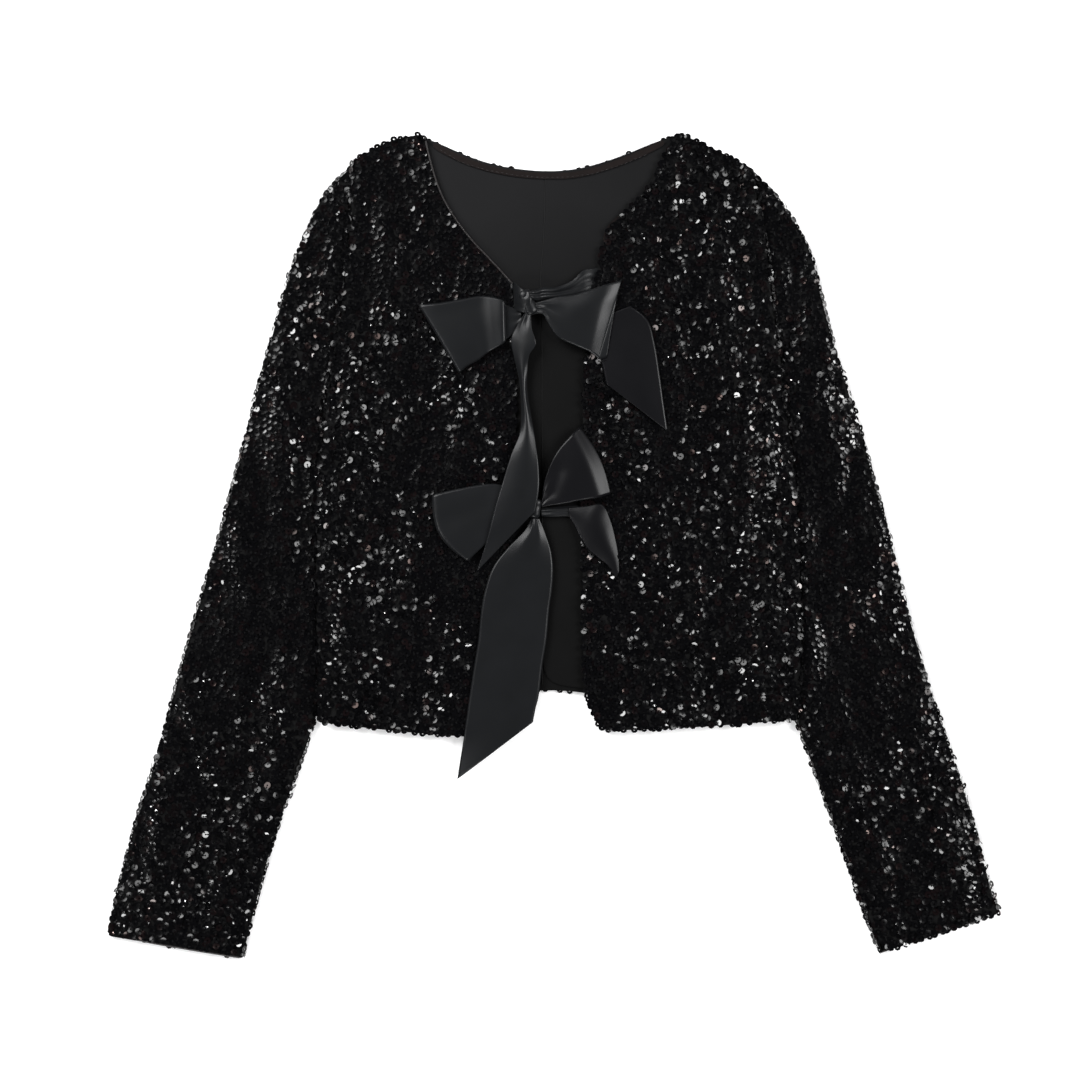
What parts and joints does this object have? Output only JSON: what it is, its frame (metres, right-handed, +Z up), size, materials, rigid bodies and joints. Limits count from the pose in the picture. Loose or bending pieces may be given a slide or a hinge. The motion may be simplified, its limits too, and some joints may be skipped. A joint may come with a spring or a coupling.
{
  "type": "cropped sequinned bolero jacket",
  "caption": "Cropped long-sleeved bolero in black sequinned cloth, lined, open at the front and closed with satin ribbon bows, laid flat on its back.",
  "frame": {"origin": "middle of the laid garment's outline, on the surface it lies on", "axes": "+X across the jacket towards the sleeve on the right as seen from above, +Y from the hem to the neck, +Z up from the surface"},
  "size_m": [0.671, 0.6215, 0.0164],
  "materials": {
    "sequin_cloth": "black mesh ground sewn all over with glossy black cupped sequins",
    "satin_lining": "charcoal black satin lining, soft dull sheen",
    "neck_binding": "brown-black satin bias binding, pressed flat",
    "satin_ribbon": "black satin ribbon, smooth directional sheen, duller on its reverse"
  },
  "bodies": {
    "root": {"back_panel": "sequin_cloth", "front_left": "sequin_cloth", "front_right": "sequin_cloth", "sleeve_left": "sequin_cloth", "sleeve_right": "sequin_cloth", "back_lining_left": "satin_lining", "back_lining_right": "satin_lining", "back_neck_binding": "neck_binding", "front_binding_left": "neck_binding", "front_binding_right": "neck_binding", "upper_knot": "satin_ribbon", "upper_tie_left": "satin_ribbon", "upper_tie_right": "satin_ribbon", "upper_loop_left": "satin_ribbon", "upper_loop_right": "satin_ribbon", "upper_tail_right": "satin_ribbon", "upper_tail_long": "satin_ribbon", "lower_knot": "satin_ribbon", "lower_tie_left": "satin_ribbon", "lower_tie_right": "satin_ribbon", "lower_loop_left": "satin_ribbon", "lower_loop_right": "satin_ribbon", "lower_tail_right": "satin_ribbon", "lower_tail_long": "satin_ribbon"}
  },
  "joints": []
}
